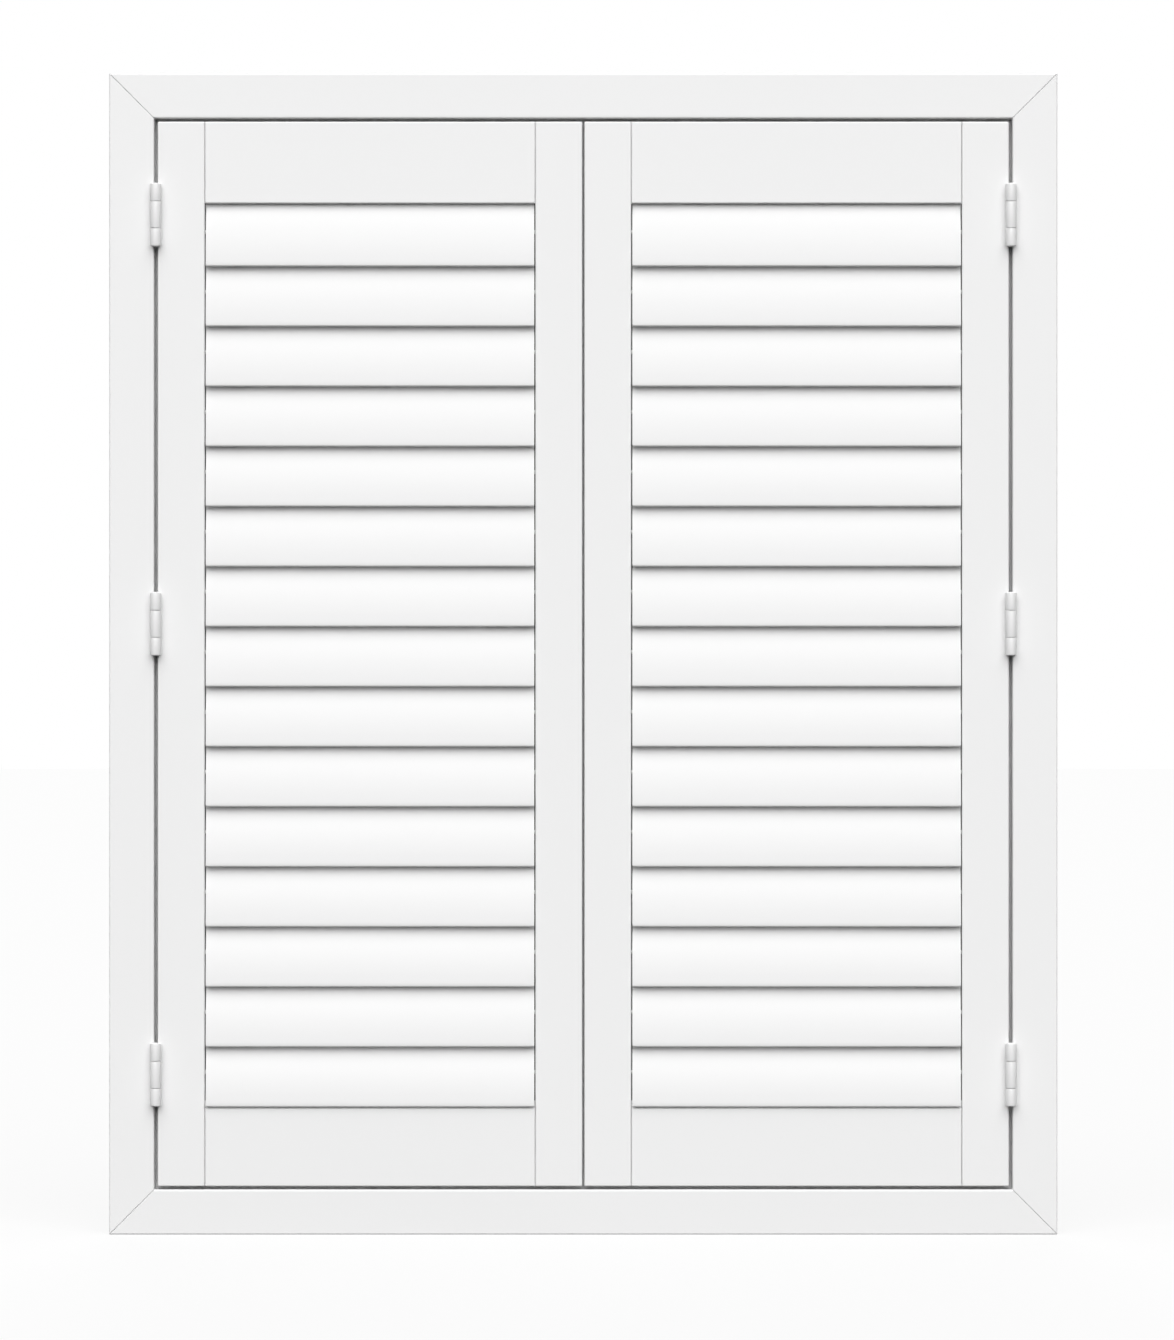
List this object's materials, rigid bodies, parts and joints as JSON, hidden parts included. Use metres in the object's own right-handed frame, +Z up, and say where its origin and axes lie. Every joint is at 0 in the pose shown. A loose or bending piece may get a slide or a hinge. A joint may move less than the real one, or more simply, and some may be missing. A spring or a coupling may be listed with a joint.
{
  "type": "louvred window shutters",
  "caption": "Pair of side-hung louvred shutter panels with tilting blades in a mitred face frame, white satin finish.",
  "frame": {"origin": "foot of the frame, half way along it, in the plane of the wall's face", "axes": "+X to the right seen from the room, +Y into the wall, +Z up"},
  "size_m": [1.024, 0.062, 1.254],
  "materials": {
    "frame_paint": "satin white paint",
    "panel_paint": "satin white paint",
    "louvre_paint": "satin white paint",
    "bar_paint": "white powder coat",
    "hinge_steel": "white painted steel",
    "key_nylon": "moulded nylon",
    "pivot_nylon": "moulded nylon",
    "magnet": "nickel plated",
    "plate_steel": "zinc plated",
    "beech": "plain turned wood"
  },
  "bodies": {
    "frame": {"frame_head": "frame_paint", "frame_sill": "frame_paint", "frame_jamb_left": "frame_paint", "frame_jamb_right": "frame_paint", "corner_keys": "key_nylon", "catch_magnets": "magnet", "hinge_frame_leaves": "hinge_steel", "hinge_pins": "hinge_steel", "frame_hinge_screws": "hinge_steel", "frame_centre_stop": "frame_paint"},
    "panel_left": {"hinge_stile_left": "panel_paint", "meeting_stile_left": "panel_paint", "top_rail_left": "panel_paint", "bottom_rail_left": "panel_paint", "hinge_panel_leaves_left": "hinge_steel", "panel_hinge_screws_left": "hinge_steel", "rail_dowels_left": "beech", "catch_plates_left": "plate_steel", "louvre_pivots_left": "pivot_nylon"},
    "louvre_left_01": {"louvre_left_01": "louvre_paint"},
    "louvre_left_02": {"louvre_left_02": "louvre_paint"},
    "louvre_left_03": {"louvre_left_03": "louvre_paint"},
    "louvre_left_04": {"louvre_left_04": "louvre_paint"},
    "louvre_left_05": {"louvre_left_05": "louvre_paint"},
    "louvre_left_06": {"louvre_left_06": "louvre_paint"},
    "louvre_left_07": {"louvre_left_07": "louvre_paint"},
    "louvre_left_08": {"louvre_left_08": "louvre_paint"},
    "louvre_left_09": {"louvre_left_09": "louvre_paint"},
    "louvre_left_10": {"louvre_left_10": "louvre_paint"},
    "louvre_left_11": {"louvre_left_11": "louvre_paint"},
    "louvre_left_12": {"louvre_left_12": "louvre_paint"},
    "louvre_left_13": {"louvre_left_13": "louvre_paint"},
    "louvre_left_14": {"louvre_left_14": "louvre_paint"},
    "louvre_left_15": {"louvre_left_15": "louvre_paint"},
    "tilt_bar_left": {"tilt_bar_left": "bar_paint"},
    "panel_right": {"hinge_stile_right": "panel_paint", "meeting_stile_right": "panel_paint", "top_rail_right": "panel_paint", "bottom_rail_right": "panel_paint", "hinge_panel_leaves_right": "hinge_steel", "panel_hinge_screws_right": "hinge_steel", "rail_dowels_right": "beech", "catch_plates_right": "plate_steel", "louvre_pivots_right": "pivot_nylon"},
    "louvre_right_01": {"louvre_right_01": "louvre_paint"},
    "louvre_right_02": {"louvre_right_02": "louvre_paint"},
    "louvre_right_03": {"louvre_right_03": "louvre_paint"},
    "louvre_right_04": {"louvre_right_04": "louvre_paint"},
    "louvre_right_05": {"louvre_right_05": "louvre_paint"},
    "louvre_right_06": {"louvre_right_06": "louvre_paint"},
    "louvre_right_07": {"louvre_right_07": "louvre_paint"},
    "louvre_right_08": {"louvre_right_08": "louvre_paint"},
    "louvre_right_09": {"louvre_right_09": "louvre_paint"},
    "louvre_right_10": {"louvre_right_10": "louvre_paint"},
    "louvre_right_11": {"louvre_right_11": "louvre_paint"},
    "louvre_right_12": {"louvre_right_12": "louvre_paint"},
    "louvre_right_13": {"louvre_right_13": "louvre_paint"},
    "louvre_right_14": {"louvre_right_14": "louvre_paint"},
    "louvre_right_15": {"louvre_right_15": "louvre_paint"},
    "tilt_bar_right": {"tilt_bar_right": "bar_paint"}
  },
  "joints": [
    {"name": "panel_left_swing", "type": "hinge", "parent": "frame", "child": "panel_left", "pos_m": [-0.4616, -0.025, 0.627], "axis": [0, 0, -1], "range_deg": [0, 180]},
    {"name": "louvres_left_tilt", "type": "hinge", "parent": "panel_left", "child": "louvre_left_08", "pos_m": [-0.23035, -0.014, 0.62922], "axis": [-1, 0, 0], "range_deg": [0, 150]},
    {"name": "louvre_left_01_tilt", "type": "hinge", "parent": "panel_left", "child": "louvre_left_01", "pos_m": [-0.23035, -0.014, 1.0831], "axis": [-1, 0, 0], "range_deg": [0, 150]},
    {"name": "louvre_left_02_tilt", "type": "hinge", "parent": "panel_left", "child": "louvre_left_02", "pos_m": [-0.23035, -0.014, 1.01826], "axis": [-1, 0, 0], "range_deg": [0, 150]},
    {"name": "louvre_left_03_tilt", "type": "hinge", "parent": "panel_left", "child": "louvre_left_03", "pos_m": [-0.23035, -0.014, 0.95342], "axis": [-1, 0, 0], "range_deg": [0, 150]},
    {"name": "louvre_left_04_tilt", "type": "hinge", "parent": "panel_left", "child": "louvre_left_04", "pos_m": [-0.23035, -0.014, 0.88858], "axis": [-1, 0, 0], "range_deg": [0, 150]},
    {"name": "louvre_left_05_tilt", "type": "hinge", "parent": "panel_left", "child": "louvre_left_05", "pos_m": [-0.23035, -0.014, 0.82374], "axis": [-1, 0, 0], "range_deg": [0, 150]},
    {"name": "louvre_left_06_tilt", "type": "hinge", "parent": "panel_left", "child": "louvre_left_06", "pos_m": [-0.23035, -0.014, 0.7589], "axis": [-1, 0, 0], "range_deg": [0, 150]},
    {"name": "louvre_left_07_tilt", "type": "hinge", "parent": "panel_left", "child": "louvre_left_07", "pos_m": [-0.23035, -0.014, 0.69406], "axis": [-1, 0, 0], "range_deg": [0, 150]},
    {"name": "louvre_left_09_tilt", "type": "hinge", "parent": "panel_left", "child": "louvre_left_09", "pos_m": [-0.23035, -0.014, 0.56438], "axis": [-1, 0, 0], "range_deg": [0, 150]},
    {"name": "louvre_left_10_tilt", "type": "hinge", "parent": "panel_left", "child": "louvre_left_10", "pos_m": [-0.23035, -0.014, 0.49954], "axis": [-1, 0, 0], "range_deg": [0, 150]},
    {"name": "louvre_left_11_tilt", "type": "hinge", "parent": "panel_left", "child": "louvre_left_11", "pos_m": [-0.23035, -0.014, 0.4347], "axis": [-1, 0, 0], "range_deg": [0, 150]},
    {"name": "louvre_left_12_tilt", "type": "hinge", "parent": "panel_left", "child": "louvre_left_12", "pos_m": [-0.23035, -0.014, 0.36986], "axis": [-1, 0, 0], "range_deg": [0, 150]},
    {"name": "louvre_left_13_tilt", "type": "hinge", "parent": "panel_left", "child": "louvre_left_13", "pos_m": [-0.23035, -0.014, 0.30502], "axis": [-1, 0, 0], "range_deg": [0, 150]},
    {"name": "louvre_left_14_tilt", "type": "hinge", "parent": "panel_left", "child": "louvre_left_14", "pos_m": [-0.23035, -0.014, 0.24018], "axis": [-1, 0, 0], "range_deg": [0, 150]},
    {"name": "louvre_left_15_tilt", "type": "hinge", "parent": "panel_left", "child": "louvre_left_15", "pos_m": [-0.23035, -0.014, 0.17534], "axis": [-1, 0, 0], "range_deg": [0, 150]},
    {"name": "tilt_bar_left_turn", "type": "hinge", "parent": "louvre_left_08", "child": "tilt_bar_left", "pos_m": [-0.23035, -0.00653, 0.67157], "axis": [-1, 0, 0], "range_deg": [-150, 0]},
    {"name": "panel_right_swing", "type": "hinge", "parent": "frame", "child": "panel_right", "pos_m": [0.4616, -0.025, 0.627], "axis": [0, 0, 1], "range_deg": [0, 180]},
    {"name": "louvres_right_tilt", "type": "hinge", "parent": "panel_right", "child": "louvre_right_08", "pos_m": [0.23035, -0.014, 0.62922], "axis": [-1, 0, 0], "range_deg": [0, 150]},
    {"name": "louvre_right_01_tilt", "type": "hinge", "parent": "panel_right", "child": "louvre_right_01", "pos_m": [0.23035, -0.014, 1.0831], "axis": [-1, 0, 0], "range_deg": [0, 150]},
    {"name": "louvre_right_02_tilt", "type": "hinge", "parent": "panel_right", "child": "louvre_right_02", "pos_m": [0.23035, -0.014, 1.01826], "axis": [-1, 0, 0], "range_deg": [0, 150]},
    {"name": "louvre_right_03_tilt", "type": "hinge", "parent": "panel_right", "child": "louvre_right_03", "pos_m": [0.23035, -0.014, 0.95342], "axis": [-1, 0, 0], "range_deg": [0, 150]},
    {"name": "louvre_right_04_tilt", "type": "hinge", "parent": "panel_right", "child": "louvre_right_04", "pos_m": [0.23035, -0.014, 0.88858], "axis": [-1, 0, 0], "range_deg": [0, 150]},
    {"name": "louvre_right_05_tilt", "type": "hinge", "parent": "panel_right", "child": "louvre_right_05", "pos_m": [0.23035, -0.014, 0.82374], "axis": [-1, 0, 0], "range_deg": [0, 150]},
    {"name": "louvre_right_06_tilt", "type": "hinge", "parent": "panel_right", "child": "louvre_right_06", "pos_m": [0.23035, -0.014, 0.7589], "axis": [-1, 0, 0], "range_deg": [0, 150]},
    {"name": "louvre_right_07_tilt", "type": "hinge", "parent": "panel_right", "child": "louvre_right_07", "pos_m": [0.23035, -0.014, 0.69406], "axis": [-1, 0, 0], "range_deg": [0, 150]},
    {"name": "louvre_right_09_tilt", "type": "hinge", "parent": "panel_right", "child": "louvre_right_09", "pos_m": [0.23035, -0.014, 0.56438], "axis": [-1, 0, 0], "range_deg": [0, 150]},
    {"name": "louvre_right_10_tilt", "type": "hinge", "parent": "panel_right", "child": "louvre_right_10", "pos_m": [0.23035, -0.014, 0.49954], "axis": [-1, 0, 0], "range_deg": [0, 150]},
    {"name": "louvre_right_11_tilt", "type": "hinge", "parent": "panel_right", "child": "louvre_right_11", "pos_m": [0.23035, -0.014, 0.4347], "axis": [-1, 0, 0], "range_deg": [0, 150]},
    {"name": "louvre_right_12_tilt", "type": "hinge", "parent": "panel_right", "child": "louvre_right_12", "pos_m": [0.23035, -0.014, 0.36986], "axis": [-1, 0, 0], "range_deg": [0, 150]},
    {"name": "louvre_right_13_tilt", "type": "hinge", "parent": "panel_right", "child": "louvre_right_13", "pos_m": [0.23035, -0.014, 0.30502], "axis": [-1, 0, 0], "range_deg": [0, 150]},
    {"name": "louvre_right_14_tilt", "type": "hinge", "parent": "panel_right", "child": "louvre_right_14", "pos_m": [0.23035, -0.014, 0.24018], "axis": [-1, 0, 0], "range_deg": [0, 150]},
    {"name": "louvre_right_15_tilt", "type": "hinge", "parent": "panel_right", "child": "louvre_right_15", "pos_m": [0.23035, -0.014, 0.17534], "axis": [-1, 0, 0], "range_deg": [0, 150]},
    {"name": "tilt_bar_right_turn", "type": "hinge", "parent": "louvre_right_08", "child": "tilt_bar_right", "pos_m": [0.23035, -0.00653, 0.67157], "axis": [-1, 0, 0], "range_deg": [-150, 0]}
  ],
  "couplings": [
    {"joint": "louvre_left_01_tilt", "follows": "louvres_left_tilt", "ratio": 1},
    {"joint": "louvre_left_02_tilt", "follows": "louvres_left_tilt", "ratio": 1},
    {"joint": "louvre_left_03_tilt", "follows": "louvres_left_tilt", "ratio": 1},
    {"joint": "louvre_left_04_tilt", "follows": "louvres_left_tilt", "ratio": 1},
    {"joint": "louvre_left_05_tilt", "follows": "louvres_left_tilt", "ratio": 1},
    {"joint": "louvre_left_06_tilt", "follows": "louvres_left_tilt", "ratio": 1},
    {"joint": "louvre_left_07_tilt", "follows": "louvres_left_tilt", "ratio": 1},
    {"joint": "louvre_left_09_tilt", "follows": "louvres_left_tilt", "ratio": 1},
    {"joint": "louvre_left_10_tilt", "follows": "louvres_left_tilt", "ratio": 1},
    {"joint": "louvre_left_11_tilt", "follows": "louvres_left_tilt", "ratio": 1},
    {"joint": "louvre_left_12_tilt", "follows": "louvres_left_tilt", "ratio": 1},
    {"joint": "louvre_left_13_tilt", "follows": "louvres_left_tilt", "ratio": 1},
    {"joint": "louvre_left_14_tilt", "follows": "louvres_left_tilt", "ratio": 1},
    {"joint": "louvre_left_15_tilt", "follows": "louvres_left_tilt", "ratio": 1},
    {"joint": "tilt_bar_left_turn", "follows": "louvres_left_tilt", "ratio": -1},
    {"joint": "louvre_right_01_tilt", "follows": "louvres_right_tilt", "ratio": 1},
    {"joint": "louvre_right_02_tilt", "follows": "louvres_right_tilt", "ratio": 1},
    {"joint": "louvre_right_03_tilt", "follows": "louvres_right_tilt", "ratio": 1},
    {"joint": "louvre_right_04_tilt", "follows": "louvres_right_tilt", "ratio": 1},
    {"joint": "louvre_right_05_tilt", "follows": "louvres_right_tilt", "ratio": 1},
    {"joint": "louvre_right_06_tilt", "follows": "louvres_right_tilt", "ratio": 1},
    {"joint": "louvre_right_07_tilt", "follows": "louvres_right_tilt", "ratio": 1},
    {"joint": "louvre_right_09_tilt", "follows": "louvres_right_tilt", "ratio": 1},
    {"joint": "louvre_right_10_tilt", "follows": "louvres_right_tilt", "ratio": 1},
    {"joint": "louvre_right_11_tilt", "follows": "louvres_right_tilt", "ratio": 1},
    {"joint": "louvre_right_12_tilt", "follows": "louvres_right_tilt", "ratio": 1},
    {"joint": "louvre_right_13_tilt", "follows": "louvres_right_tilt", "ratio": 1},
    {"joint": "louvre_right_14_tilt", "follows": "louvres_right_tilt", "ratio": 1},
    {"joint": "louvre_right_15_tilt", "follows": "louvres_right_tilt", "ratio": 1},
    {"joint": "tilt_bar_right_turn", "follows": "louvres_right_tilt", "ratio": -1}
  ]
}
